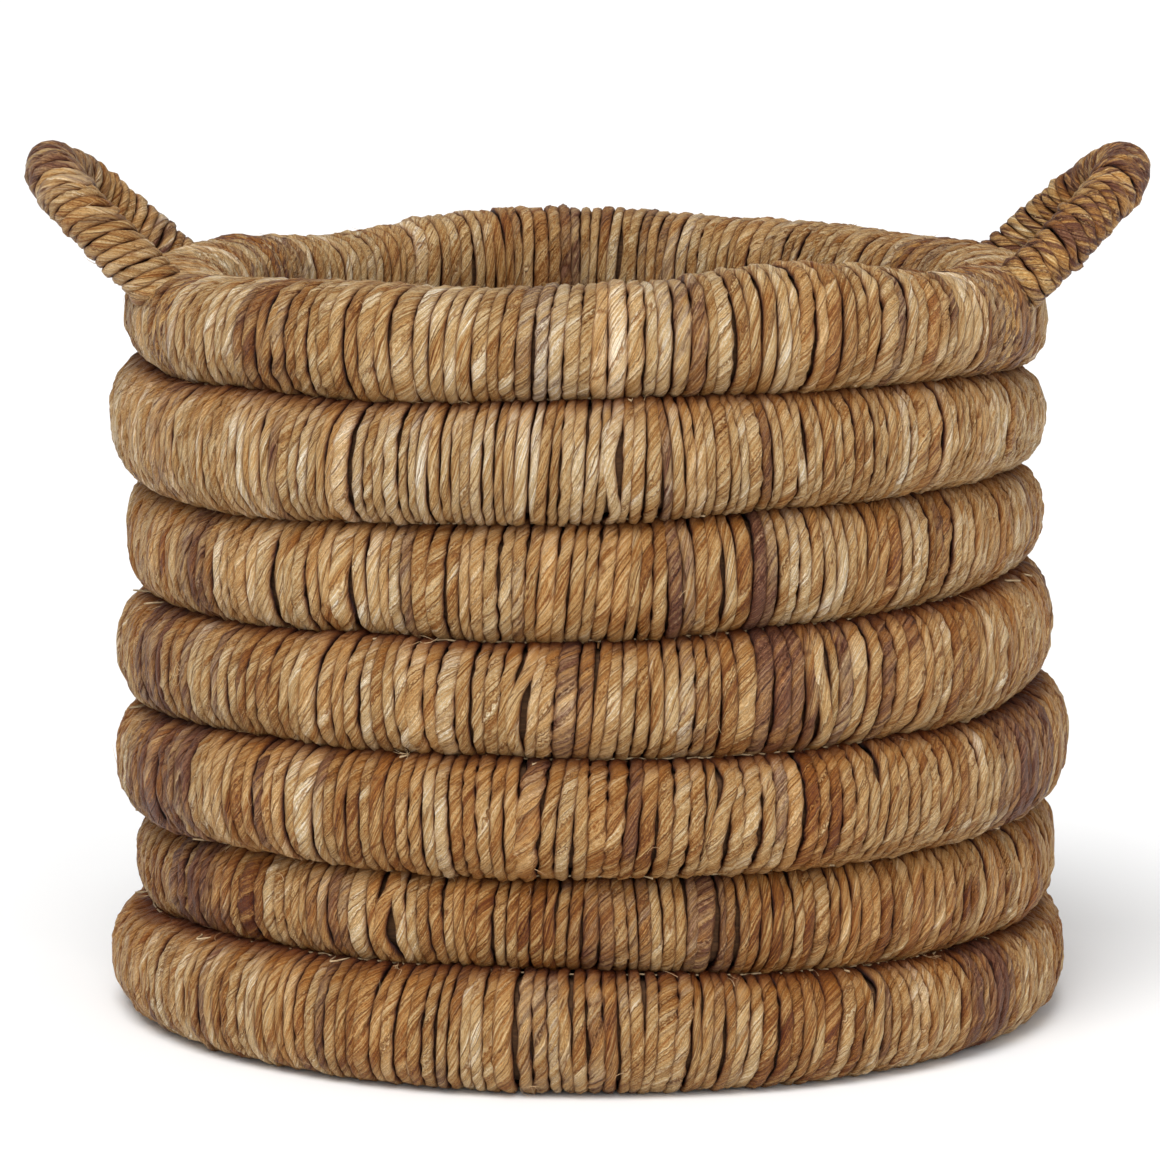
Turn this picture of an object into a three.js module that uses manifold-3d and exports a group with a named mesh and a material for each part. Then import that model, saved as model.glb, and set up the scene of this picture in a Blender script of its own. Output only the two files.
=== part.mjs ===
// Round lidless storage basket: seven fat coils stacked into a wall, a flat spiral base and two
// stiff loop handles. Every coil is a core of coarse fibre bound closely with twisted leaf cord.
// Units are millimetres, +Z is up, the front of the basket faces -Y, and the origin is on the
// floor under the middle. The cord of each coil is one plain shell here.

import * as THREE from 'three';
import { mergeVertices } from 'three/addons/utils/BufferGeometryUtils.js';
import Module from 'manifold-3d';

const wasm = await Module();
wasm.setup();

// ---------------------------------------------------------------- driving dimensions

const GAP = 0.3;                      // clearance kept between touching pieces
const STATIONS = 24;                  // straight steps round one turn of any coil
const COIL_WIDTH = 52;                // radial thickness of a wall coil
const CORE_SHARE = 0.77;              // share of a coil's section inside its cord
const CORE_CLEARANCE = 0.02;          // how much smaller the core is than that share
const SPLICE_ANGLE = 0.15 * Math.PI / 180;   // half the gap where a coil's two ends meet

const BASE_PITCH = 44;                // width of one turn of the base spiral
const BASE_LOW = 6;                   // underside of the base above the floor
const BASE_HIGH = 40;                 // upper side of the base above the floor
const BASE_MEETS_WALL = 176.5;        // outermost reach of the base inside the bottom coil
const BASE_START_TURN = 0.3;
const BASE_END_TURN = 4.72;
const BASE_CORE_SHORTER = 0.25;       // how far the core stops short of the cord at each end, in turns
const BASE_CORE_SHARE = 0.7;
const BASE_FLAT = Math.cos(Math.PI / 6);     // a six-sided section of half width 1 has flats here

const THREAD_RADIUS = 1.4;            // thin sewing thread in the grooves
const BASE_THREAD_RISE = 5;           // base thread above the middle height of the base
const THREAD_OFFSET = 2.7;            // thread centre outside the flats where two coils touch

const HANDLE_REACH = 100;             // root to tip, measured along the slope of the handle
const HANDLE_SLOPE = 43 * Math.PI / 180;
const HANDLE_HALF_SPAN = 67;          // half the distance between the two legs
const HANDLE_ROOT = new THREE.Vector3(184, 0, 336);
const HANDLE_RADIUS = 13;
const HANDLE_CORE_RADIUS = 6.5;
const HANDLE_STEPS = 18;
const HANDLE_SQUARENESS = 0.8;        // under 1 makes the arch squarer than an ellipse

const LASHING_THICKNESS = 3;
const LASHING_FROM = 24.3 * Math.PI / 180;
const LASHING_TO = 29.2 * Math.PI / 180;

// Heights of the seams between the coils, floor to rim. A seam's height at an angle a from +X is
// mean + tilt * cos(a) + lean * sin(a) + sag * cos(2a) + skew * sin(2a): the hand-made unevenness.
const SEAMS = [
  { mean: 0, tilt: 0, lean: 0, sag: 0, skew: 0 },
  { mean: 53, tilt: 0.9, lean: 0.5, sag: -2.7, skew: 3.4 },
  { mean: 99.6, tilt: 5.2, lean: -1, sag: 0.3, skew: 3.3 },
  { mean: 152.8, tilt: 5.8, lean: -1.2, sag: 0.5, skew: 2.7 },
  { mean: 207.4, tilt: 7, lean: -0.8, sag: 1.8, skew: 0.9 },
  { mean: 261.2, tilt: 1.9, lean: 0.5, sag: 0.3, skew: -3.3 },
  { mean: 313.9, tilt: -3.4, lean: 0.3, sag: -1.6, skew: -4.5 },
  { mean: 365, tilt: 1, lean: 0.4, sag: -2.6, skew: -1.6 },
];

// Outer radius of each coil and how far its middle sits to the right of the basket's, floor up.
const COILS = [
  { outer: 231, shift: 0.5 },
  { outer: 222.5, shift: 2.6 },
  { outer: 231, shift: 1 },
  { outer: 225, shift: -1.2 },
  { outer: 220, shift: -1.7 },
  { outer: 224, shift: -4.8 },
  { outer: 221.5, shift: -1 },
];

const RIM = COILS.length - 1;

// ---------------------------------------------------------------- materials

function fibre(color, roughness) {
  return new THREE.MeshStandardMaterial({ color, roughness, metalness: 0 });
}

const CORD_COLOURS = ['#a9794b', '#b08452', '#b5874f', '#b98d55', '#bc8f58', '#c09660', '#bf9a68'];
const CORE_COLOUR = '#6e4d30';
const THREAD_COLOUR = '#d9c7a0';
const HANDLE_COLOUR = '#9a6a44';
const LASHING_COLOUR = '#7a5142';
const CORD_ROUGHNESS = 0.72;
const CORE_ROUGHNESS = 0.95;

// ---------------------------------------------------------------- shape helpers

// Corner points of a regular polygon that has a flat side at the bottom and reaches `reach`
// from its middle to each side.
function polygonPoints(sides, reach) {
  const corner = reach / Math.cos(Math.PI / sides);
  return Array.from({ length: sides }, (_, i) => {
    const angle = (2 * Math.PI * (i + 0.5)) / sides;
    return new THREE.Vector2(corner * Math.sin(angle), -corner * Math.cos(angle));
  });
}

function section(sides, reach, holeReach = 0) {
  const shape = new THREE.Shape(polygonPoints(sides, reach));
  if (holeReach > 0) {
    shape.holes.push(new THREE.Path(polygonPoints(sides, holeReach)));
  }
  return shape;
}

// Extrudes a section one unit long and moves every point by `place(x, y, share of the length)`.
function bentBar(shape, steps, place) {
  const bar = new THREE.ExtrudeGeometry(shape, { depth: 1, steps, bevelEnabled: false });
  const points = bar.attributes.position;
  const moved = new THREE.Vector3();
  for (let i = 0; i < points.count; i += 1) {
    place(points.getX(i), points.getY(i), points.getZ(i), moved);
    points.setXYZ(i, moved.x, moved.y, moved.z);
  }
  return bar;
}

function seamHeight(index, angle) {
  const seam = SEAMS[index];
  return seam.mean + seam.tilt * Math.cos(angle) + seam.lean * Math.sin(angle)
    + seam.sag * Math.cos(2 * angle) + seam.skew * Math.sin(2 * angle);
}

function coilMiddle(index, angle) {
  return COILS[index].outer - COIL_WIDTH / 2 + COILS[index].shift * Math.cos(angle);
}

// A length of wall coil between two angles. The section is given in shares of the coil's half
// width and half height, so it follows the seams above and below it.
function coilPiece(index, shape, from, to, steps) {
  return bentBar(shape, steps, (across, up, along, target) => {
    const angle = from + (to - from) * along;
    const low = seamHeight(index, angle) + (index > 0 ? GAP / 2 : 0);
    const high = seamHeight(index + 1, angle) - GAP / 2;
    const radius = coilMiddle(index, angle) - across * COIL_WIDTH / 2;
    const height = (low + high) / 2 + up * (high - low) / 2;
    target.set(radius * Math.cos(angle), radius * Math.sin(angle), height);
  });
}

const RING_START = Math.PI / 2 + SPLICE_ANGLE;
const RING_END = Math.PI / 2 + 2 * Math.PI - SPLICE_ANGLE;

function wholeCoil(index, shape) {
  return coilPiece(index, shape, RING_START, RING_END, STATIONS);
}

// ---------------------------------------------------------------- solids that are cut

function toSolid(geometry) {
  const bare = geometry.clone();
  bare.deleteAttribute('normal');
  bare.deleteAttribute('uv');
  const merged = mergeVertices(bare, 1e-4);
  const mesh = new wasm.Mesh({
    numProp: 3,
    vertProperties: new Float32Array(merged.attributes.position.array),
    triVerts: new Uint32Array(merged.index.array),
  });
  return new wasm.Manifold(mesh);
}

function fromSolid(solid) {
  const mesh = solid.getMesh();
  const geometry = new THREE.BufferGeometry();
  geometry.setAttribute('position', new THREE.BufferAttribute(mesh.vertProperties, 3));
  geometry.setIndex(new THREE.BufferAttribute(mesh.triVerts, 1));
  geometry.computeVertexNormals();
  return geometry;
}

// ---------------------------------------------------------------- handles

// The arch of a handle: it leaves the rim at one leg, climbs outwards to the tip and comes back.
class HandleArch extends THREE.Curve {
  constructor(side) {
    super();
    this.side = side;
  }

  getPoint(share, target = new THREE.Vector3()) {
    const swing = Math.PI * share;
    const climb = HANDLE_REACH * Math.sin(swing) ** HANDLE_SQUARENESS;
    return target.set(
      this.side * (HANDLE_ROOT.x + climb * Math.cos(HANDLE_SLOPE)),
      -HANDLE_HALF_SPAN * Math.cos(swing),
      HANDLE_ROOT.z + climb * Math.sin(HANDLE_SLOPE),
    );
  }
}

function handleBar(side, reach, holeReach = 0) {
  return new THREE.ExtrudeGeometry(section(8, reach, holeReach), {
    steps: HANDLE_STEPS,
    extrudePath: new HandleArch(side),
    bevelEnabled: false,
  });
}

function handleCore(side) {
  return handleBar(side, HANDLE_CORE_RADIUS);
}

function handleSocket(side) {
  return toSolid(handleBar(side, HANDLE_CORE_RADIUS + GAP));
}

// The bound sleeve of a handle, trimmed where it lands on the rim coil.
function handleWrap(side) {
  const sleeve = toSolid(handleBar(side, HANDLE_RADIUS, HANDLE_CORE_RADIUS + GAP));
  const swollen = 1 + GAP / (COIL_WIDTH / 2);
  const rimBody = toSolid(wholeCoil(RIM, section(8, swollen)));
  return fromSolid(sleeve.subtract(rimBody));
}

// ---------------------------------------------------------------- lashings

const LASHING_SHARE = 1 - LASHING_THICKNESS / (COIL_WIDTH / 2);
const GROOVE_SHARE = 1.1;             // outside of the cutter, past the coil's own surface
const BLOCK_SHARE = 1.2;              // section of the block that picks one stretch of the coil

// The angle range of the lashing beside one leg: side is 1 on the right and -1 on the left,
// end is -1 at the front and 1 at the back.
function lashingAngles(side, end, growth) {
  const from = LASHING_FROM - growth;
  const to = LASHING_TO + growth;
  if (side > 0) {
    return end > 0 ? [from, to] : [-to, -from];
  }
  return end > 0 ? [Math.PI - to, Math.PI - from] : [Math.PI + from, Math.PI + to];
}

// The part of a rim-shaped sleeve that lies beside one leg.
function besideLeg(shape, side, end, growth) {
  const [from, to] = lashingAngles(side, end, growth);
  const block = toSolid(coilPiece(RIM, section(4, BLOCK_SHARE), from, to, 1));
  return toSolid(wholeCoil(RIM, shape)).intersect(block);
}

function lashing(side, end) {
  return fromSolid(besideLeg(section(8, 1, LASHING_SHARE), side, end, 0));
}

// The groove that a lashing lies in, slightly larger all round than the lashing.
function lashingGroove(side, end) {
  const growth = GAP / (COILS[RIM].outer - COIL_WIDTH);
  const innerShare = LASHING_SHARE - GAP / (COIL_WIDTH / 2);
  return besideLeg(section(8, GROOVE_SHARE, innerShare), side, end, growth);
}

const SIDES = [{ name: 'left', sign: -1 }, { name: 'right', sign: 1 }];
const ENDS = [{ name: 'front', sign: -1 }, { name: 'back', sign: 1 }];

// ---------------------------------------------------------------- wall

function coilCore(index) {
  const core = wholeCoil(index, section(8, CORE_SHARE - CORE_CLEARANCE));
  if (index < RIM) {
    return core;
  }
  return fromSolid(SIDES.reduce(
    (solid, side) => solid.subtract(handleSocket(side.sign)),
    toSolid(core),
  ));
}

function coilWrap(index) {
  const wrap = wholeCoil(index, section(8, 1, CORE_SHARE));
  if (index < RIM) {
    return wrap;
  }
  let solid = toSolid(wrap);
  for (const side of SIDES) {
    solid = solid.subtract(handleSocket(side.sign));
    for (const end of ENDS) {
      solid = solid.subtract(lashingGroove(side.sign, end.sign));
    }
  }
  return fromSolid(solid);
}

// The thread lies in the outer groove over a seam, just clear of the flats of both coils.
function seamThread(seam) {
  return bentBar(section(4, THREAD_RADIUS), STATIONS, (across, up, along, target) => {
    const angle = RING_START + (RING_END - RING_START) * along;
    const flat = COIL_WIDTH / 2 * Math.tan(Math.PI / 8);
    const middle = Math.max(coilMiddle(seam - 1, angle), coilMiddle(seam, angle));
    const radius = middle + flat + THREAD_OFFSET + (up - across) * Math.SQRT1_2;
    const height = seamHeight(seam, angle) + (up + across) * Math.SQRT1_2;
    target.set(radius * Math.cos(angle), radius * Math.sin(angle), height);
  });
}

// ---------------------------------------------------------------- base

// The edge between neighbouring turns of the base spiral is a plain spiral from the middle. The
// first turn grows out of the centre and the last one thins out against the bottom coil.
function baseEdge(turn) {
  return Math.min(Math.max(turn, 0) * BASE_PITCH, BASE_MEETS_WALL);
}

function baseStretch(shape, fromTurn, toTurn) {
  const steps = Math.round((toTurn - fromTurn) * STATIONS);
  return bentBar(shape, steps, (across, up, along, target) => {
    const turn = fromTurn + (steps / STATIONS) * along;
    const angle = turn * 2 * Math.PI;
    const inner = Math.max(baseEdge(turn - 1), 1) + GAP / 2;
    const outer = baseEdge(turn) - GAP / 2;
    const slim = Math.min((outer - inner) / (BASE_PITCH - GAP), 1);
    const halfHeight = (BASE_HIGH - BASE_LOW) / 2 * Math.sqrt(slim);
    const radius = (inner + outer) / 2 - across * (outer - inner) / 2;
    const height = (BASE_HIGH + BASE_LOW) / 2 + up * halfHeight;
    target.set(radius * Math.cos(angle), radius * Math.sin(angle), height);
  });
}

function baseWrap() {
  return baseStretch(section(6, BASE_FLAT, BASE_FLAT * BASE_CORE_SHARE), BASE_START_TURN, BASE_END_TURN);
}

function baseCore() {
  const share = BASE_CORE_SHARE - 2 * CORE_CLEARANCE;
  const from = BASE_START_TURN + BASE_CORE_SHORTER;
  return baseStretch(section(6, BASE_FLAT * share), from, BASE_END_TURN - BASE_CORE_SHORTER);
}

// The base thread follows the upper groove between neighbouring turns of the spiral.
function baseThread() {
  const fromTurn = BASE_START_TURN + BASE_CORE_SHORTER;
  const steps = Math.floor((BASE_END_TURN - 1 - fromTurn) * STATIONS);
  return bentBar(section(4, THREAD_RADIUS), steps, (across, up, along, target) => {
    const turn = fromTurn + (steps / STATIONS) * along;
    const angle = turn * 2 * Math.PI;
    const radius = baseEdge(turn) + (up - across) * Math.SQRT1_2;
    const height = (BASE_HIGH + BASE_LOW) / 2 + BASE_THREAD_RISE + (up + across) * Math.SQRT1_2;
    target.set(radius * Math.cos(angle), radius * Math.sin(angle), height);
  });
}

// ---------------------------------------------------------------- assembly

const basket = new THREE.Group();

function addPiece(name, geometry, material) {
  const mesh = new THREE.Mesh(geometry, material);
  mesh.name = name;
  basket.add(mesh);
}

const coreMaterial = fibre(CORE_COLOUR, CORE_ROUGHNESS);
const threadMaterial = fibre(THREAD_COLOUR, CORD_ROUGHNESS);
const handleMaterial = fibre(HANDLE_COLOUR, CORD_ROUGHNESS);
const lashingMaterial = fibre(LASHING_COLOUR, CORD_ROUGHNESS);

COILS.forEach((_, index) => {
  addPiece(`wall_coil_${index + 1}_core`, coilCore(index), coreMaterial);
  addPiece(`wall_coil_${index + 1}_wrap`, coilWrap(index), fibre(CORD_COLOURS[index], CORD_ROUGHNESS));
});

for (let seam = 1; seam < COILS.length; seam += 1) {
  addPiece(`seam_thread_${seam}`, seamThread(seam), threadMaterial);
}

addPiece('base_coil_core', baseCore(), coreMaterial);
addPiece('base_coil_wrap', baseWrap(), fibre(CORD_COLOURS[0], CORD_ROUGHNESS));
addPiece('base_thread', baseThread(), threadMaterial);

for (const side of SIDES) {
  addPiece(`handle_${side.name}_core`, handleCore(side.sign), coreMaterial);
  addPiece(`handle_${side.name}_wrap`, handleWrap(side.sign), handleMaterial);
  for (const end of ENDS) {
    addPiece(`handle_${side.name}_${end.name}_lashing`, lashing(side.sign, end.sign), lashingMaterial);
  }
}

export default basket;
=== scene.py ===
"""Round storage basket of stacked coils, each bound closely with twisted leaf cord."""

import math

import bmesh
import bpy
import numpy as np
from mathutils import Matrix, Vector


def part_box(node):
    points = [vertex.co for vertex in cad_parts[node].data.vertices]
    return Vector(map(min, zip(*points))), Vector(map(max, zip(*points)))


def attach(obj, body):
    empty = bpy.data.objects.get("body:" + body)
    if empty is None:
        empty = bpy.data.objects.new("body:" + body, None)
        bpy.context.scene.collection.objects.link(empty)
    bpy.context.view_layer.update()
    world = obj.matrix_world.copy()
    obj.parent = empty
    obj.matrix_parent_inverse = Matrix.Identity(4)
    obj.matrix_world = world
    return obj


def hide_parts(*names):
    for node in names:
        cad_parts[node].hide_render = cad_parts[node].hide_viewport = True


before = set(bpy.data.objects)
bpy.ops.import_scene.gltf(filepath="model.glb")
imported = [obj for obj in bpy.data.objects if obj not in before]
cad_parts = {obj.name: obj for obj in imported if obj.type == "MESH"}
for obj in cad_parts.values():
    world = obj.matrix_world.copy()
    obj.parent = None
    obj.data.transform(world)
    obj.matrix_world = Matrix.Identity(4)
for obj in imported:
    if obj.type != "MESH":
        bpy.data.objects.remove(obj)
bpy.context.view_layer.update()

MM = 0.001
TAU = 2 * math.pi
COIL_COUNT = 7
SPLICE = math.pi / 2            # the two ends of a coil's core meet at the back


# ---------------------------------------------------------------- smooth random variation

def drift(x, scale, seed):
    """Smooth noise along one line: about -1 to 1, changing over a distance of `scale`."""
    x = np.asarray(x, float) / scale
    low = np.floor(x).astype(int)
    share = x - low
    share = share * share * (3 - 2 * share)
    values = np.random.default_rng(seed).uniform(-1, 1, 4096)
    here = values[(low + 2048) % 4096]
    there = values[(low + 2049) % 4096]
    return here + (there - here) * share


def window(angle, middle, half_width, edge):
    """1 inside an angle range, 0 outside it, with a soft edge."""
    away = np.abs((angle - middle + math.pi) % TAU - math.pi)
    return np.clip((half_width + edge - away) / edge, 0, 1)


# ---------------------------------------------------------------- the coils' shape, from the frame

def corner_array(node):
    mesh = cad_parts[node].data
    points = np.empty(len(mesh.vertices) * 3)
    mesh.vertices.foreach_get("co", points)
    return points.reshape(-1, 3)


def harmonics(angle):
    angle = np.asarray(angle, float)
    one = np.ones_like(angle)
    return np.stack([one, np.cos(angle), np.sin(angle), np.cos(2 * angle), np.sin(2 * angle)], -1)


class Rail:
    """A smooth value for every angle round the basket, fitted to measured ones."""

    def __init__(self, angles, values):
        self.terms = np.linalg.lstsq(harmonics(angles), values, rcond=None)[0]

    def __call__(self, angle):
        return harmonics(angle) @ self.terms


# An angle is measured only where a wall coil's mesh has its whole section, at least this large.
WHOLE_WIDTH = 50 * MM
WHOLE_HEIGHT = 25 * MM


def coil_rails(node):
    """Lowest, highest, innermost and outermost line of a wall coil."""
    points = corner_array(node)
    angle = np.arctan2(points[:, 1], points[:, 0])
    radius = np.hypot(points[:, 0], points[:, 1])
    group = np.round(angle / math.radians(1)).astype(int)
    rows = {name: [] for name in ("angle", "low", "high", "inner", "outer")}
    for key in np.unique(group):
        mine = group == key
        wide, tall = np.ptp(radius[mine]), np.ptp(points[mine, 2])
        if wide < WHOLE_WIDTH or tall < WHOLE_HEIGHT:
            continue
        rows["angle"].append(angle[mine].mean())
        rows["low"].append(points[mine, 2].min())
        rows["high"].append(points[mine, 2].max())
        rows["inner"].append(radius[mine].min())
        rows["outer"].append(radius[mine].max())
    angles = np.array(rows.pop("angle"))
    return {name: Rail(angles, np.array(values)) for name, values in rows.items()}


SECTION_POWER = 2 / 2.45        # squarer than an ellipse, because neighbours press together
SEAM_PRESS = 1.9 * MM           # how far a coil's cord sinks into its neighbour's


def outline(turn, half_width, half_height):
    """A point of a coil's section and the outward direction there; turn 0 faces outwards."""
    c, s = np.cos(turn), np.sin(turn)
    across = half_width * np.sign(c) * np.abs(c) ** SECTION_POWER
    up = half_height * np.sign(s) * np.abs(s) ** SECTION_POWER
    facing = np.stack([c / half_width, s / half_height], -1)
    facing /= np.linalg.norm(facing, axis=-1, keepdims=True)
    return across, up, facing


COIL_WAVE = 1.5 * MM            # unevenness of a coil's size, on top of the frame's smooth one

# Humps and dips of the rim's top: angle from +X and half width in degrees, height in millimetres.
RIM_BUMPS = [(-61, 15, 5.0), (-108, 14, -1.5), (-32, 12, -3.0), (131, 13, -6.5), (95, 18, 3.0)]


class WallCoil:
    """The surface of one wall coil: positions by angle round the basket and turn round the section.

    `section` is the rough radius of its section, and a slanted winding leans most at `slant_from`.
    """

    section = 25 * MM
    slant_from = 0.0

    def __init__(self, number):
        self.number = number
        self.rails = coil_rails(f"wall_coil_{number}_wrap")

    def settle(self, angle):
        """Radius and height of the section's middle, and half its width and height."""
        rails = self.rails
        wave = COIL_WAVE * drift(angle % TAU, 0.4, 100 + self.number)
        low = rails["low"](angle)
        high = rails["high"](angle) + COIL_WAVE * drift(angle % TAU, 0.3, 201 + self.number)
        if self.number > 1:
            low = low + COIL_WAVE * drift(angle % TAU, 0.3, 200 + self.number) - SEAM_PRESS
        if self.number < COIL_COUNT:
            high = high + SEAM_PRESS
        else:
            for place, spread, height in RIM_BUMPS:
                away = (angle - math.radians(place) + math.pi) % TAU - math.pi
                high = high + height * MM * np.exp(-(away / math.radians(spread)) ** 2)
        inner, outer = rails["inner"](angle) + wave, rails["outer"](angle) + wave
        return (inner + outer) / 2, (low + high) / 2, (outer - inner) / 2, (high - low) / 2

    def place(self, angle, turn, lift):
        middle, height, half_width, half_height = self.settle(angle)
        across, up, facing = outline(turn, half_width, half_height)
        radius = middle + across + lift * facing[..., 0]
        z = height + up + lift * facing[..., 1]
        return np.stack([radius * np.cos(angle), radius * np.sin(angle), z], -1)

    def reach(self, angle):
        """Metres that one unit of the running coordinate is worth, at the outside."""
        return self.rails["outer"](angle)

    def bearing(self, angle):
        return angle

    def seam_share(self, turn):
        """1 where the coil lies under its upper neighbour, less over its lower one, 0 elsewhere."""
        above = np.maximum(np.sin(turn), 0) if self.number < COIL_COUNT else 0 * turn
        below = np.maximum(-np.sin(turn), 0) if self.number > 1 else 0 * turn
        return above ** 2.4 + 0.55 * below ** 4


class BaseCoil:
    """The flat spiral of the base; its running coordinate is the angle wound from the middle."""

    section = 17 * MM
    slant_from = 0.0
    pitch = 44 * MM
    first_turn = 0.3
    join_turn = 3.1
    last_turn = 4.72

    def __init__(self):
        low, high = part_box("base_coil_wrap")
        self.height = (low.z + high.z) / 2
        self.half_height = (high.z - low.z) / 2
        self.wall = (high.x - low.x + high.y - low.y) / 4

    def edge(self, angle):
        return np.clip(angle / TAU * self.pitch, 1 * MM, self.wall)

    def place(self, angle, turn, lift):
        inner, outer = self.edge(angle - TAU), self.edge(angle)
        slim = np.clip((outer - inner) / self.pitch, 0.05, 1)
        across, up, facing = outline(turn, (outer - inner) / 2, self.half_height * np.sqrt(slim))
        radius = np.maximum((inner + outer) / 2 + across + lift * facing[..., 0], 0.2 * MM)
        z = self.height + up + lift * facing[..., 1]
        return np.stack([radius * np.cos(angle), radius * np.sin(angle), z], -1)

    def reach(self, angle):
        return (self.edge(angle) + self.edge(angle - TAU)) / 2

    def bearing(self, angle):
        return angle

    def seam_share(self, turn):
        return np.abs(np.cos(turn)) ** 4


class Handle:
    """A loop handle; its running coordinate is the distance along the arch from the front leg."""

    radius = 13 * MM
    section = 11 * MM
    rod_radius = 6.5 * MM
    rod_sides = 8
    slope = math.radians(43)
    half_span = 67 * MM
    climb = 100 * MM
    squareness = 0.8

    def __init__(self, side):
        self.side = side
        self.slant_from = 0.0 if side > 0 else math.pi
        low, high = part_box(f"handle_{'right' if side > 0 else 'left'}_core")
        rod = self.rod_radius / math.cos(math.pi / self.rod_sides)
        tip = (high.x if side > 0 else -low.x) - rod
        root_x = tip - self.climb * math.cos(self.slope)
        root_z = high.z - rod - self.climb * math.sin(self.slope)
        swing = np.linspace(0, math.pi, 2001)
        rise = self.climb * np.sin(swing) ** self.squareness
        self.line = np.stack([
            side * (root_x + rise * math.cos(self.slope)),
            -self.half_span * np.cos(swing),
            root_z + rise * math.sin(self.slope),
        ], -1)
        step = np.linalg.norm(np.diff(self.line, axis=0), axis=1)
        self.mileage = np.concatenate([[0], np.cumsum(step)])
        self.length = self.mileage[-1]

    def locate(self, along):
        along = np.asarray(along, float)
        return np.stack([np.interp(along, self.mileage, self.line[:, axis]) for axis in range(3)], -1)

    def place(self, along, turn, lift):
        middle = self.locate(along)
        ahead = self.locate(along + 2 * MM) - self.locate(along - 2 * MM)
        ahead /= np.maximum(np.linalg.norm(ahead, axis=-1, keepdims=True), 1e-9)
        face = np.array([-self.side * math.sin(self.slope), 0, math.cos(self.slope)])
        outwards = np.cross(ahead, face) * -self.side
        across = np.cos(turn)[..., None] * outwards + np.sin(turn)[..., None] * face
        return middle + across * (self.radius + lift)[..., None]

    def reach(self, along):
        return np.ones_like(along)

    def bearing(self, along):
        """0 at the front leg, half a turn at the back leg."""
        return math.pi * along / self.length

    def seam_share(self, turn):
        return 0 * turn


# ---------------------------------------------------------------- cord

TWIST_LENGTH = 27 * MM          # the leaf turns once round itself in about this length of cord
CORD_POWER = 0.8                # under 1 makes the cord's section squarer than a round
WIDTH_SPREAD = 0.14             # how much the turns' widths differ
WIDE_SHARE = 0.06               # share of wide turns
WIDE = 1.45                     # width of a wide turn, in usual widths
NARROW_SHARE = 0.05
NARROW = 0.75
OVERLAP = 1.05                  # a turn's own width against the room it has
LEAN = math.radians(7)          # tilt that neighbouring turns share
WOBBLE = math.radians(2.2)      # tilt of single turns
SLOW_HUMP = 0.65 * MM           # ups and downs over a turn or so
QUICK_HUMP = 0.45 * MM          # ups and downs over a quarter turn
CORD_RADIUS = 3.0 * MM          # half the cord's thickness
SLIM_CORD_RADIUS = 2.8 * MM     # the same on the base and the handles
CRINKLE = 0.46 * MM             # depth of the leaf's folds
CLIMB_EVERY = 15                # one turn in this many climbs over its neighbour
TUCK = 2.5 * MM                 # how deep a cord's two ends are tucked in

# Directions of a cord's own corners: many over its outer face, few where it lies on the core.
CORD_CORNERS = np.radians([0, 26, 58, 90, 122, 154, 180, 270])


def soften(value):
    return np.sign(value) * np.abs(value) ** CORD_POWER


def turn_steps(outside, inside, flat):
    """Where round a coil's section a cord has its points: close together where it is seen."""
    parts = [
        np.linspace(-90, -75, flat, endpoint=False),
        np.linspace(-75, 80, outside, endpoint=False),
        np.linspace(80, 105, flat, endpoint=False),
        np.linspace(105, 250, inside, endpoint=False),
        np.linspace(250, 270, flat, endpoint=False),
    ]
    return np.radians(np.concatenate(parts))


def close_tube(mesh):
    """Joins the two edges of a rolled-up grid, closes its ends and turns its faces outwards."""
    bm = bmesh.new()
    bm.from_mesh(mesh)
    bmesh.ops.remove_doubles(bm, verts=bm.verts, dist=1e-7)
    rims = [edge for edge in bm.edges if edge.is_boundary]
    bmesh.ops.holes_fill(bm, edges=rims, sides=0)
    bmesh.ops.recalc_face_normals(bm, faces=bm.faces)
    for face in bm.faces:
        face.smooth = True
    bm.to_mesh(mesh)
    bm.free()


def cord_mesh(name, points, marks):
    """A closed tube through rows of points. `marks` are named values for every point."""
    rings, corners = points.shape[:2]
    wrap = np.concatenate([points, points[:, :1]], axis=1)
    bm = bmesh.new()
    bmesh.ops.create_grid(bm, x_segments=corners, y_segments=rings - 1, size=1)
    mesh = bpy.data.meshes.new(name)
    bm.to_mesh(mesh)
    bm.free()
    mesh.vertices.foreach_set("co", wrap.reshape(-1))
    for label, values in marks.items():
        values = np.concatenate([values, values[:, :1]], axis=1)
        vector = values.ndim == 3
        layer = mesh.attributes.new(label, "FLOAT_VECTOR" if vector else "FLOAT", "POINT")
        layer.data.foreach_set("vector" if vector else "value", values.reshape(-1))
    close_tube(mesh)
    return mesh


def add_piece(mesh, material, slot, *nodes):
    piece = bpy.data.objects.new(mesh.name, mesh)
    bpy.context.scene.collection.objects.link(piece)
    mesh.materials.append(material)
    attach(piece, "root")
    if nodes:
        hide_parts(*nodes)
    return piece


def turn_edges(source, turns, start, end):
    """Places along a coil where the turns of a cord begin, with uneven widths between them."""
    widths = source.lognormal(0, WIDTH_SPREAD, turns + 2)
    widths[source.random(turns + 2) < WIDE_SHARE] *= WIDE
    widths[source.random(turns + 2) < NARROW_SHARE] *= NARROW
    edges = np.concatenate([[0], np.cumsum(widths)])
    return start + (end - start) * edges / edges[turns]


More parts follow.
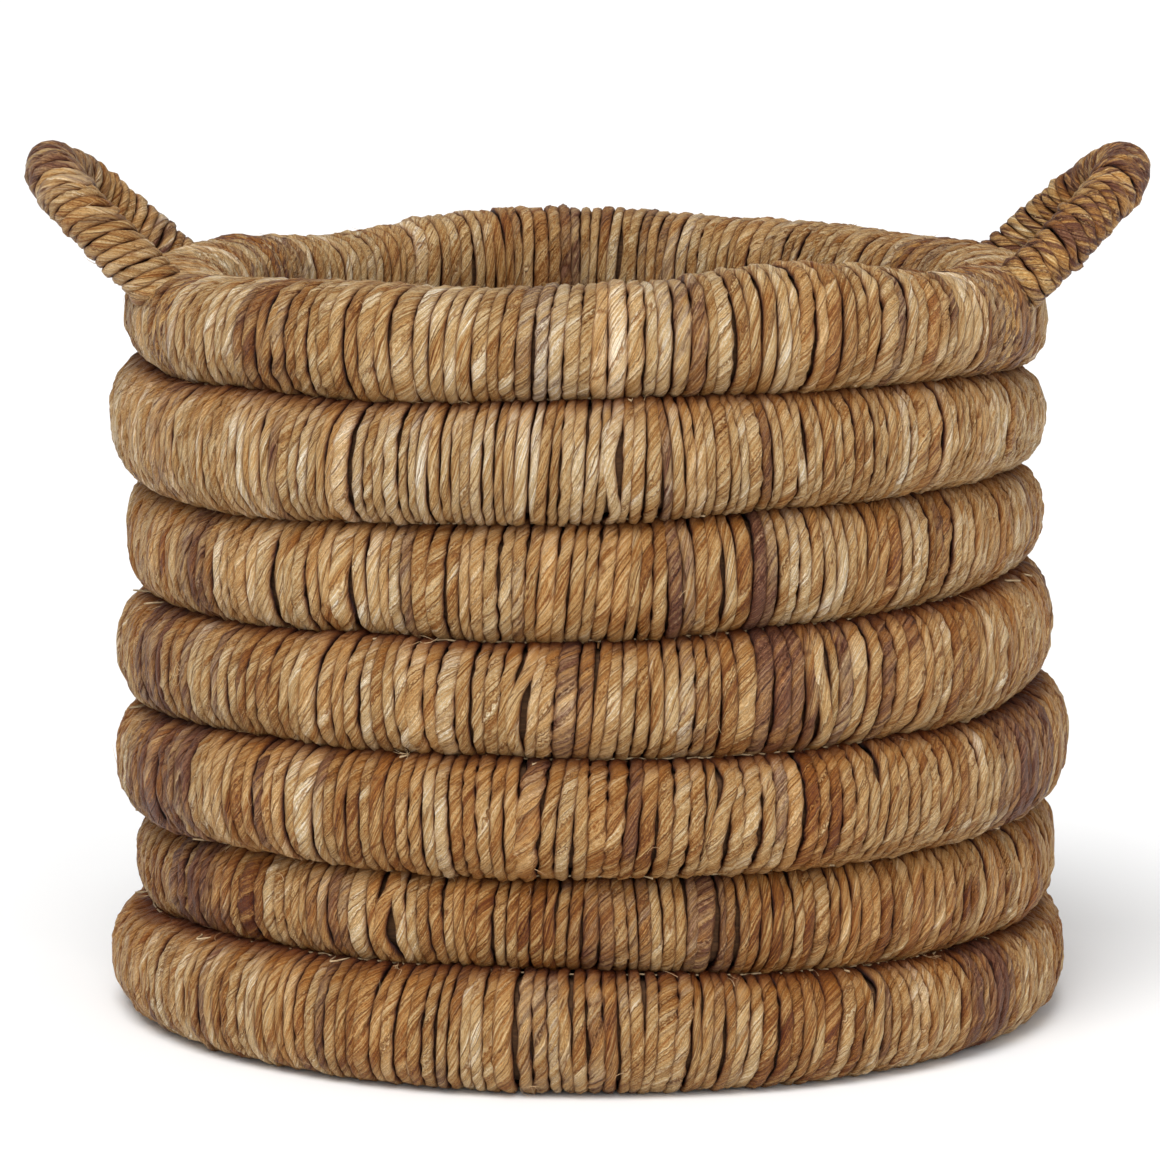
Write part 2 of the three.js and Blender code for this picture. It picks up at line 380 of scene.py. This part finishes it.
def leaf_shades(source, turns, whole, bearing, seed, stains, tone_shift):
    """How pale, how stained and how ripe the leaf is along a cord; `whole` counts its turns."""
    own_tone = source.uniform(-1, 1, turns + 2)
    counted = whole + 0.03
    own_tone = np.interp(counted % 1, [0, 0.06, 1], [0, 1, 1]) * own_tone[counted.astype(int)]
    tone = 0.5 + tone_shift + 0.08 * own_tone + 0.14 * drift(whole, 3.3, seed + 9)
    tone += 0.13 * drift(whole, 0.6, seed + 10) + 0.12 * drift(whole, 0.2, seed + 15)
    stain = np.clip((drift(whole, 0.7, seed + 12) - 0.8) / 0.16, 0, 0.5)
    for place, spread, strength in stains:
        patch = window(bearing, math.radians(place), math.radians(spread), math.radians(1.5))
        mottle = 0.8 + 0.4 * drift(whole, 0.5, seed + 11)
        stain = np.maximum(stain, strength * patch * mottle)
    gild = 0.5 + 0.5 * drift(whole, 2.2, seed + 16)
    return np.clip(tone, 0, 1), np.clip(stain, 0, 1), gild


def wind(name, coil, start, end, pitch, thick, steps, seed, stains=(), tone_shift=0.0, slant=0.0,
         wild=1.0):
    """One length of cord wound round a coil between two places along it."""
    source = np.random.default_rng(seed)
    reach = coil.reach(np.linspace(start, end, 50)).mean()
    turns = int(round(abs(end - start) * reach / pitch))
    edges = turn_edges(source, turns, start, end)

    along = np.concatenate([number + steps / TAU for number in range(turns)])
    whole = along - along[0]
    middle = np.interp(whole, np.arange(len(edges)), edges)
    width = np.gradient(middle, whole)
    width = np.convolve(np.pad(width, 8, mode="edge"), np.ones(17) / 17, "valid")
    turn = steps[0] + TAU * whole
    arc = whole * TAU * coil.section                 # distance along the cord

    tilt = LEAN * wild * drift(middle * reach, 60 * MM, seed + 1)
    tilt += WOBBLE * wild * drift(whole, 1.1, seed + 13)
    tilt *= np.clip(np.minimum(whole, turns - whole) / 7, 0, 1)
    sway = (tilt * np.sin(turn) + slant * np.sin(turn + coil.slant_from)) * coil.section / reach
    sway += 0.14 * wild * width * drift(whole, 0.2, seed + 2)
    hump = SLOW_HUMP * drift(whole, 0.8, seed + 3) + QUICK_HUMP * drift(whole, 0.22, seed + 4)

    half = 0.5 * np.abs(width) * OVERLAP * (1 + 0.12 * drift(whole, 0.16, seed + 5))
    deep = thick * (1 + 0.14 * drift(whole, 0.35, seed + 6))

    # A few turns climb over their neighbour on the outside or the inside of the coil.
    for _ in range(int(turns * wild) // CLIMB_EVERY):
        at = source.integers(1, turns - 2) + source.choice([0.25, 0.75]) + source.uniform(-.07, .07)
        near = np.clip((whole - at) / 0.24, -1, 1)
        bell = (1 + np.cos(math.pi * near)) / 2
        sway += source.choice([-1, 1]) * 0.7 * width * np.sin(math.pi * near) * bell
        hump += source.uniform(0.5, 1.2) * MM * bell

    fade = np.clip(np.minimum(whole, whole[-1] - whole) / 0.05, 0, 1)
    hump -= TUCK * (1 - fade)
    deep *= 0.35 + 0.65 * fade

    rate = 1 + 0.5 * drift(whole, 1.3, seed + 7)
    spin = -TAU * np.cumsum(np.gradient(arc) * rate) / TWIST_LENGTH
    corner = CORD_CORNERS[None, :]
    facet = corner - spin[:, None]
    lens = np.clip(0.1 + 0.1 * drift(whole, 0.7, seed + 14), 0, 1)[:, None]
    bulge = 1 + lens * np.cos(2 * facet) + 0.04 * np.cos(3 * facet + 1.0)
    aside = half[:, None] * bulge * soften(np.cos(corner))
    rise = deep[:, None] * (bulge * soften(np.sin(corner)) - 1)
    crinkle = np.stack([drift(whole, 0.045, seed + 30 + k) for k in range(corner.size)], -1)
    crinkle += 0.6 * source.uniform(-1, 1, crinkle.shape)
    rise += CRINKLE * crinkle * wild
    points = coil.place(
        middle[:, None] + sway[:, None] + aside,
        turn[:, None] + 0 * corner,
        hump[:, None] + rise,
    )

    tone, stain, gild = leaf_shades(source, turns, whole, coil.bearing(middle), seed, stains, tone_shift)
    full = np.ones_like(corner)
    marks = {
        "twine": np.stack([arc[:, None] * full, np.cos(facet), np.sin(facet)], -1),
        "tone": tone[:, None] * full,
        "stain": stain[:, None] * full,
        "gild": gild[:, None] * full,
        # crown: height on the cord's own section, 1 on top and 0 at its sides; it steers the painted shade
        # between turns.
        "crown": np.sin(corner) * np.ones_like(whole)[:, None],
        # seam: share of the section that lies against a neighbouring coil; it steers the golden colour and
        # the painted shade there.
        "seam": coil.seam_share(turn)[:, None] * full,
    }
    return cord_mesh(name, points, marks)


HAIR_RADIUS = 0.15 * MM
TUFT_STRANDS = 7


def loose_fibres(name, coil, start, end, single, tufts, seed, low=-80, high=84):
    """Hair-thin fibres that stand off a coil's cord, singly and in small tufts.

    `low` and `high` are the degrees round the section between which they grow.
    """
    curve = bpy.data.curves.new(name, "CURVE")
    curve.dimensions = "3D"
    curve.bevel_depth = HAIR_RADIUS
    curve.bevel_resolution = 0
    curve.use_fill_caps = True
    source = np.random.default_rng(seed)
    roots = [(source.uniform(start, end), 1) for _ in range(single)]
    roots += [(source.uniform(start, end), TUFT_STRANDS) for _ in range(tufts)]
    share = np.linspace(0, 1, 6)
    for where, strands in roots:
        turn = math.radians(source.uniform(low, high))
        if source.random() < 0.5:
            turn = math.radians(source.choice([low, high]) + source.uniform(-18, 18))
        for _ in range(strands):
            length = source.uniform(3, 11) * MM if strands == 1 else source.uniform(2.5, 7) * MM
            heading = source.normal(0, 0.5 if strands == 1 else 0.9) + source.choice([0, math.pi])
            lift = -0.3 * MM + source.uniform(0.8, 2.8) * MM * share ** source.uniform(1.0, 1.8)
            bend = source.normal(0, 0.5) * share ** 2
            across = np.sin(heading + bend) * length * share / coil.reach(np.array([where]))[0]
            forward = np.cos(heading + bend) * length * share / coil.section
            points = coil.place(where + across, turn + forward, lift)
            spline = curve.splines.new("POLY")
            spline.points.add(len(share) - 1)
            spline.points.foreach_set("co", np.c_[points, np.ones(len(share))].reshape(-1))
            thick = source.uniform(0.6, 1.25)
            spline.points.foreach_set("radius", thick * (1.05 - 0.8 * share))
    piece = bpy.data.objects.new(name, curve)
    bpy.context.scene.collection.objects.link(piece)
    curve.materials.append(stray)
    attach(piece, "root")


# ---------------------------------------------------------------- materials

class Shader:
    """Small helper that adds and links nodes of one material."""

    def __init__(self, name):
        self.material = bpy.data.materials.new(name)
        self.material.use_nodes = True
        self.tree = self.material.node_tree
        self.surface = self.tree.nodes["Principled BSDF"]

    def node(self, kind, inputs=None, **settings):
        made = self.tree.nodes.new(kind)
        for key, value in settings.items():
            setattr(made, key, value)
        for key, value in (inputs or {}).items():
            if isinstance(value, bpy.types.NodeSocket):
                self.tree.links.new(value, made.inputs[key])
            else:
                made.inputs[key].default_value = value
        return made

    def mark(self, label, output="Fac"):
        return self.node("ShaderNodeAttribute", attribute_name=label).outputs[output]

    def noise(self, vector, scale, detail, roughness):
        inputs = {"Vector": vector, "Scale": scale, "Detail": detail, "Roughness": roughness}
        return self.node("ShaderNodeTexNoise", inputs).outputs["Fac"]

    def stretch(self, vector, scale):
        return self.node("ShaderNodeMapping", {"Vector": vector, "Scale": scale}).outputs["Vector"]

    def math(self, operation, a, b):
        return self.node("ShaderNodeMath", {0: a, 1: b}, operation=operation).outputs[0]

    def weigh(self, parts):
        """The sum of values, each times its weight."""
        total = 0.0
        for value, weight in parts:
            total = self.math("ADD", total, self.math("MULTIPLY", value, weight))
        return total

    def fit(self, value, low, high, to_low=0.0, to_high=1.0):
        inputs = {"Value": value, "From Min": low, "From Max": high, "To Min": to_low, "To Max": to_high}
        return self.node("ShaderNodeMapRange", inputs).outputs["Result"]

    def ramp(self, value, stops):
        made = self.node("ShaderNodeValToRGB", {"Fac": value})
        band = made.color_ramp
        while len(band.elements) < len(stops):
            band.elements.new(0.5)
        for element, (place, colour) in zip(band.elements, stops):
            element.position = place
            element.color = (*colour, 1)
        return made.outputs["Color"]

    def mix(self, share, a, b, blend="MIX"):
        made = self.node("ShaderNodeMix", data_type="RGBA", blend_type=blend)
        for socket, value in ((made.inputs["Factor"], share), (made.inputs[6], a), (made.inputs[7], b)):
            if isinstance(value, bpy.types.NodeSocket):
                self.tree.links.new(value, socket)
            elif isinstance(value, tuple):
                socket.default_value = (*value, 1)
            else:
                socket.default_value = value
        return made.outputs[2]

    def shade(self, colour, tint):
        """A colour multiplied by a darker one."""
        return self.mix(1.0, colour, tint, "MULTIPLY")

    def finish(self, colour, roughness, bump=None, strength=0.5, distance=0.5 * MM):
        links = self.tree.links
        links.new(colour, self.surface.inputs["Base Color"])
        if isinstance(roughness, bpy.types.NodeSocket):
            links.new(roughness, self.surface.inputs["Roughness"])
        else:
            self.surface.inputs["Roughness"].default_value = roughness
        if bump is not None:
            made = self.node("ShaderNodeBump", {"Height": bump, "Strength": strength, "Distance": distance})
            links.new(made.outputs["Normal"], self.surface.inputs["Normal"])
        return self.material


RIPE_TINT = (1.0, 0.72, 0.38)           # golden brown of riper lengths
SEAM_GOLD_AND_SHADE = (0.33, 0.115, 0.014)        # leaf close to a seam: its own golden brown, and painted shade under the neighbouring coil
FURROW_SHADE_TINT = (0.45, 0.27, 0.13)        # painted shade along the leaf's folds
FLANK_SHADE_TINT = (0.42, 0.17, 0.03)         # painted shade where the cord rounds away to its neighbour
GAP_SHADE_TINT = (0.14, 0.035, 0.003)         # painted shade deep between two turns
SEAM_SHADE_TINT = (0.26, 0.07, 0.006)         # painted shade deep between two coils


def leaf_material(name, palette, stain_colours, seam_gold_and_shade, blotch=0.3):
    """Twisted dry leaf: folds and streaks that follow the twist, and dark stained lengths.

    The fourth argument is how golden it is near the seams, darkened there by painted shade as well, and
    `blotch` how broken up its stains are.
    """
    shader = Shader(name)
    twine = shader.mark("twine", "Vector")
    fold_place = shader.stretch(twine, (30, 0.8, 0.8))
    voronoi = {"Vector": fold_place, "Scale": 1.0, "Randomness": 1.0}
    crease = shader.node("ShaderNodeTexVoronoi", voronoi, feature="DISTANCE_TO_EDGE").outputs["Distance"]
    fold = shader.node("ShaderNodeTexVoronoi", voronoi).outputs["Color"]
    fold = shader.node("ShaderNodeSeparateColor", {"Color": fold}).outputs[0]
    streak = shader.noise(shader.stretch(twine, (38, 4.0, 4.0)), 1.0, 6, 0.7)
    fine = shader.noise(shader.stretch(twine, (90, 13, 13)), 1.0, 4, 0.65)
    patch = shader.noise(shader.stretch(twine, (24, 0.6, 0.6)), 1.0, 3, 0.55)
    mottle = shader.noise(shader.stretch(twine, (75, 1.3, 1.3)), 1.0, 4, 0.6)

    parts = [(shader.mark("tone"), 0.6), (streak, 1.25), (patch, 0.32), (mottle, 0.5), (fold, 0.16)]
    colour = shader.ramp(shader.math("SUBTRACT", shader.weigh(parts), 0.98), palette)

    ripe = shader.fit(shader.mark("gild"), 0.55, 1.0, 0.0, 0.45)
    colour = shader.mix(ripe, colour, shader.shade(colour, RIPE_TINT))
    # Near the seams a dark golden brown: partly the leaf's own colour, partly painted shade under the
    # neighbouring coil.
    gild = shader.math("MULTIPLY", shader.mark("seam"), shader.fit(mottle, 0.3, 0.6, 0.5 * seam_gold_and_shade, seam_gold_and_shade))
    colour = shader.mix(gild, colour, SEAM_GOLD_AND_SHADE)
    dark = shader.ramp(streak, stain_colours)
    blot = shader.math("ADD", shader.mark("stain"), shader.fit(mottle, 0.3, 0.7, -blotch, blotch))
    colour = shader.mix(shader.fit(blot, 0.22, 0.7), colour, dark)

    # Painted shade: darker along the leaf's creases, shown only where the mottle is high.
    furrow = shader.fit(crease, 0.0, 0.05)
    furrow = shader.math("MAXIMUM", furrow, shader.fit(mottle, 0.42, 0.56, 1.0, 0.1))
    colour = shader.mix(furrow, shader.shade(colour, FURROW_SHADE_TINT), colour)
    # Painted shade: darker where the cord rounds away to its neighbouring turns.
    flank_shade = shader.fit(shader.mark("crown"), 0.1, 0.88)
    colour = shader.mix(flank_shade, shader.shade(colour, FLANK_SHADE_TINT), colour)
    # Painted shade: much darker deep between two turns.
    gap_shade = shader.fit(shader.mark("crown"), 0.05, 0.55)
    colour = shader.mix(gap_shade, shader.shade(colour, GAP_SHADE_TINT), colour)
    # Painted shade: darker deep between two coils.
    seam_shade = shader.fit(shader.mark("seam"), 0.5, 0.92, 0.0, 0.85)
    colour = shader.mix(seam_shade, colour, shader.shade(colour, SEAM_SHADE_TINT))
    grain = shader.node("ShaderNodeCombineColor", {channel: shader.fit(fine, 0.3, 0.7, 0.52, 1.42)
                                                   for channel in range(3)}).outputs[0]
    colour = shader.mix(1.0, colour, grain, "MULTIPLY")

    roughness = shader.fit(streak, 0.3, 0.7, 0.33, 0.55)
    height = shader.weigh([(streak, 0.8), (fine, 0.3), (furrow, 0.5), (mottle, 0.7)])
    shader.surface.inputs["Specular IOR Level"].default_value = 0.27
    return shader.finish(colour, roughness, height, 0.9, 1.9 * MM)


# Leaf colours from dark to pale, each with its place on the scale.
STRAW = [
    (0.06, (0.10, 0.018, 0.001)),
    (0.24, (0.27, 0.098, 0.016)),
    (0.41, (0.47, 0.275, 0.100)),
    (0.60, (0.64, 0.465, 0.255)),
    (0.80, (0.90, 0.800, 0.640)),
]
RIPE = [
    (0.06, (0.11, 0.028, 0.006)),
    (0.26, (0.25, 0.090, 0.018)),
    (0.45, (0.48, 0.250, 0.070)),
    (0.62, (0.70, 0.470, 0.200)),
    (0.80, (0.92, 0.800, 0.560)),
]
UMBER = [
    (0.32, (0.045, 0.011, 0.006)),
    (0.5, (0.145, 0.050, 0.024)),
    (0.72, (0.38, 0.200, 0.105)),
]


def stray_material():
    shader = Shader("loose leaf fibre")
    place = shader.node("ShaderNodeTexCoord").outputs["Object"]
    cloud = shader.noise(place, 60.0, 2, 0.5)
    colour = shader.ramp(cloud, [(0.35, (0.30, 0.13, 0.04)), (0.65, (0.72, 0.52, 0.29))])
    return shader.finish(colour, 0.55)


def thread_material():
    """Pale sewing thread with a fine lay."""
    shader = Shader("pale sewing thread")
    place = shader.node("ShaderNodeTexCoord").outputs["Object"]
    lay = shader.noise(shader.stretch(place, (900, 900, 2400)), 1.0, 3, 0.6)
    colour = shader.ramp(lay, [(0.3, (0.34, 0.21, 0.09)), (0.7, (0.62, 0.48, 0.30))])
    return shader.finish(colour, 0.7, lay, 0.5, 0.3 * MM)


def core_material():
    shader = Shader("coarse core fibre")
    place = shader.node("ShaderNodeTexCoord").outputs["Object"]
    strand = shader.noise(shader.stretch(place, (90, 90, 600)), 1.0, 5, 0.7)
    colour = shader.ramp(strand, [(0.3, (0.04, 0.015, 0.004)), (0.7, (0.14, 0.060, 0.02))])
    return shader.finish(colour, 0.9, strand, 0.6, 2 * MM)


def floor_material():
    shader = Shader("pale floor")
    place = shader.node("ShaderNodeTexCoord").outputs["Object"]
    cloud = shader.noise(place, 3.0, 3, 0.5)
    colour = shader.ramp(cloud, [(0.3, (0.93, 0.93, 0.93)), (0.7, (0.95, 0.95, 0.95))])
    return shader.finish(colour, 0.9)


# ---------------------------------------------------------------- build

leaf = leaf_material("twisted leaf cord", STRAW, UMBER, 0.9)
ripe_leaf = leaf_material("ripe leaf cord", RIPE, UMBER, 0.2, 0.75)
stray = stray_material()
fibre = core_material()
thread = thread_material()

WALL_STEPS = turn_steps(30, 12, 2)
RIM_STEPS = turn_steps(30, 15, 6)
ROUND_STEPS = np.radians(np.linspace(0, 360, 30, endpoint=False))
BASE_STEPS = np.radians(np.linspace(-90, 270, 30, endpoint=False))
LASHING_STEPS = np.radians(np.linspace(-90, 270, 48, endpoint=False))

# Dark lengths of cord: the middle and half spread of each in degrees from +X, and its strength.
STAINS = {
    1: [(-35, 4, 0.8), (-92, 6, 0.35), (-77, 4, 0.3), (150, 6, 0.7), (60, 3, 0.6)],
    2: [(-148, 5, 0.8), (-87, 4, 0.5), (-75.5, 3, 0.55), (-123, 3, 0.4), (20, 5, 0.7), (110, 4, 0.6)],
    3: [(-153, 9, 0.7), (-25, 8, 0.8), (75, 5, 0.6)],
    4: [(-157, 4, 0.7), (-92, 1.5, 0.5), (-77, 1.5, 0.5), (-66.5, 3, 0.65), (35, 5, 0.6), (120, 3, 0.7)],
    5: [(-146, 3, 0.6), (-79, 1.2, 0.8), (-69, 1.0, 0.7), (90, 4, 0.6)],
    6: [(-151, 3, 0.4), (-119, 1.5, 0.3), (10, 4, 0.6), (140, 5, 0.5)],
    7: [(-96, 2, 0.4), (-79, 2, 0.4), (-24, 8, 0.6), (-133, 5, 0.35), (24, 9, 0.5), (47, 11, 0.28),
        (77, 4, 0.4), (93, 2, 0.5), (124, 5, 0.2), (150, 8, 0.45), (205, 4, 0.4)],
}

# Width of one turn of cord in millimetres and how much paler or darker the leaf is, floor up.
LEAF = {
    1: (6.1, -0.08), 2: (6.2, -0.13), 3: (6.9, -0.07), 4: (7.0, -0.03), 5: (6.4, -0.01), 6: (5.3, 0.06),
    7: (7.0, 0.03),
}

coils = {number: WallCoil(number) for number in range(1, COIL_COUNT + 1)}


def core_bundle(name, coil, start, end, sink, rings, corners=16):
    """A round bundle under the cord of a coil, seen only through gaps between turns."""
    angle = np.linspace(start, end, rings)[:, None]
    turn = np.linspace(0, TAU, corners, endpoint=False)[None, :]
    return cord_mesh(name, coil.place(angle + 0 * turn, turn + 0 * angle, 0 * turn - sink), {})


LENGTHS = 4                     # separate lengths of cord round each wall coil
STAGGER = 0.9                   # radians by which each coil's cord joins move on from the one below


def wall_coil(number):
    coil = coils[number]
    wrap = f"wall_coil_{number}_wrap"
    steps = RIM_STEPS if number == COIL_COUNT else WALL_STEPS
    pitch, tone_shift = LEAF[number]
    for part in range(LENGTHS):
        start = SPLICE + TAU * part / LENGTHS + STAGGER * number
        end = start + TAU / LENGTHS
        seed = 1000 * number + 100 * part
        name = f"wall_coil_{number}_cord_{part + 1}"
        mesh = wind(name, coil, start, end, pitch * MM, CORD_RADIUS, steps, seed, STAINS[number],
                    tone_shift)
        add_piece(mesh, leaf, "leaf_cord", wrap)
    mesh = core_bundle(f"wall_coil_{number}_bundle", coil, SPLICE, SPLICE + TAU - 0.01, 5.4 * MM, 120)
    add_piece(mesh, fibre, "core_fibre", f"wall_coil_{number}_core")
    low = -80 if number > 1 else -40
    loose_fibres(f"wall_coil_{number}_stray_fibres", coil, 0, TAU, 110, 12, 5000 + number, low)


def base_spiral():
    coil = BaseCoil()
    start, end = coil.first_turn * TAU, coil.last_turn * TAU
    joins = [start, coil.join_turn * TAU, end]
    for part in range(2):
        mesh = wind(f"base_cord_{part + 1}", coil, joins[part], joins[part + 1], 6.6 * MM,
                    SLIM_CORD_RADIUS, BASE_STEPS, 9000 + 100 * part, wild=0.7)
        add_piece(mesh, leaf, "leaf_cord", "base_coil_wrap")
    mesh = core_bundle("base_bundle", coil, start + 1.2, end - 1.2, 5.2 * MM, 220, 10)
    add_piece(mesh, fibre, "core_fibre", "base_coil_core")


# Stains of each handle: place and half spread in degrees from the front leg (0) to the back (180).
HANDLE_STAINS = {
    -1: [(95, 26, 0.66), (62, 3, 0.6), (160, 16, 0.5)],
    1: [(85, 90, 0.48), (75, 12, 0.66)],
}


def handle(side, name):
    loop = Handle(side)
    inside_rim = 20 * MM
    material, tone_shift = (ripe_leaf, 0.06) if side > 0 else (leaf, 0.05)
    mesh = wind(f"handle_{name}_cord", loop, inside_rim, loop.length - inside_rim, 6.0 * MM,
                SLIM_CORD_RADIUS, ROUND_STEPS, 9400 + 50 * side, HANDLE_STAINS[side], tone_shift,
                slant=0.32, wild=0.8)
    add_piece(mesh, material, "handle_cord", f"handle_{name}_wrap")
    mesh = core_bundle(f"handle_{name}_rod", loop, 3 * MM, loop.length - 3 * MM, 5.6 * MM, 80, 10)
    add_piece(mesh, fibre, "core_fibre", f"handle_{name}_core")
    loose_fibres(f"handle_{name}_stray_fibres", loop, 45 * MM, loop.length - 45 * MM, 10, 1,
                 5100 + side, -170, 170)


# Where a lashing's turns begin and end, in degrees round the basket from its handle's middle.
LASHING_FROM = 24.3
LASHING_TO = 29.2


def lashing(side, side_name, end, end_name):
    """Turns of dark cord over the rim coil, close beside one leg of a handle."""
    near, far = math.radians(LASHING_FROM) * end, math.radians(LASHING_TO) * end
    if side < 0:
        near, far = math.pi - near, math.pi - far
    name = f"handle_{side_name}_{end_name}_lashing"
    mesh = wind(f"{name}_cord", coils[COIL_COUNT], near, far, 6.4 * MM, CORD_RADIUS, LASHING_STEPS,
                9700 + 10 * side + end, [(math.degrees(near), 20, 0.55)])
    add_piece(mesh, ripe_leaf, "handle_cord", name)


LACE_CORNERS = np.linspace(0, TAU, 5, endpoint=False)


def ring_lace(name, angle, radius, height, thick, node):
    """A thin thread along a line round the basket."""
    radius = radius[:, None] + thick * np.cos(LACE_CORNERS)
    height = height[:, None] + thick * np.sin(LACE_CORNERS)
    angle = angle[:, None]
    points = np.stack([radius * np.cos(angle), radius * np.sin(angle), height], -1)
    add_piece(cord_mesh(name, points, {}), thread, "sewing_thread", node)


def seam_thread(number):
    """Thread in the outer groove over one wall coil: mostly deep, now and then lifting out."""
    below, above = coils[number], coils[number + 1]
    angle = np.linspace(SPLICE + 0.01, SPLICE + TAU - 0.01, 900)
    middle = np.maximum(below.settle(angle)[0], above.settle(angle)[0])
    height = (below.rails["high"](angle) + above.rails["low"](angle)) / 2
    lifted = np.clip(drift(angle, 0.04, 300 + number) * 6 - 5, 0, 1)
    radius = middle + (6 + 14 * lifted) * MM
    height = height + 1.5 * MM * drift(angle, 0.02, 310 + number) * (0.3 + lifted)
    name = f"seam_thread_{number}"
    ring_lace(f"{name}_lace", angle, radius, height, 0.45 * MM, name)


def base_thread():
    """Thread that follows the groove between the turns of the base, on its upper side."""
    coil = BaseCoil()
    angle = np.linspace((coil.first_turn + 0.25) * TAU, (coil.last_turn - 1) * TAU, 700)
    radius = coil.edge(angle) + 0.8 * MM * drift(angle, 0.1, 320)
    height = coil.height + 7 * MM + 2 * MM * drift(angle, 0.08, 321)
    ring_lace("base_thread_lace", angle, radius, height, 0.6 * MM, "base_thread")


for number in coils:
    wall_coil(number)
for number in range(1, COIL_COUNT):
    seam_thread(number)
base_spiral()
base_thread()
for side, side_name in ((-1, "left"), (1, "right")):
    handle(side, side_name)
    for end, end_name in ((-1, "front"), (1, "back")):
        lashing(side, side_name, end, end_name)


# ---------------------------------------------------------------- stage

FLOOR_HALF_SIZE = 40
CAMERA_PLACE = (-0.004, -2.651, 0.585)
CAMERA_LENS = 171.5
CAMERA_SENSOR = 36
CAMERA_DOWN = math.radians(8.17)        # how far it looks down
SKY_STRENGTH = 0.42


def add_floor():
    bm = bmesh.new()
    bmesh.ops.create_grid(bm, x_segments=1, y_segments=1, size=FLOOR_HALF_SIZE)
    mesh = bpy.data.meshes.new("floor")
    bm.to_mesh(mesh)
    bm.free()
    mesh.materials.append(floor_material())
    floor = bpy.data.objects.new("floor", mesh)
    bpy.context.scene.collection.objects.link(floor)


def add_camera():
    data = bpy.data.cameras.new("camera")
    data.sensor_width = CAMERA_SENSOR
    data.lens = CAMERA_LENS
    data.clip_end = 100
    camera = bpy.data.objects.new("camera", data)
    camera.location = CAMERA_PLACE
    camera.rotation_euler = (math.pi / 2 - CAMERA_DOWN, 0, 0)
    bpy.context.scene.collection.objects.link(camera)
    bpy.context.scene.camera = camera


def add_sun(name, azimuth, elevation, strength, spread):
    """A soft lamp far off; azimuth in degrees from the front, towards the right."""
    light = bpy.data.lights.new(name, "SUN")
    light.energy = strength
    light.angle = math.radians(spread)
    lamp = bpy.data.objects.new(name, light)
    a, e = math.radians(azimuth), math.radians(elevation)
    source = Vector((math.sin(a) * math.cos(e), -math.cos(a) * math.cos(e), math.sin(e)))
    lamp.rotation_euler = source.to_track_quat("Z", "Y").to_euler()
    bpy.context.scene.collection.objects.link(lamp)


def light_room():
    world = bpy.data.worlds.new("soft white room")
    world.use_nodes = True
    sky = world.node_tree.nodes["Background"]
    sky.inputs["Color"].default_value = (1, 1, 1, 1)
    sky.inputs["Strength"].default_value = SKY_STRENGTH
    bpy.context.scene.world = world
    bpy.context.scene.view_settings.view_transform = "Standard"
    add_sun("key", -18, 58, 2.36, 35)
    add_sun("front fill", 10, 24, 1.22, 50)


add_floor()
add_camera()
light_room()
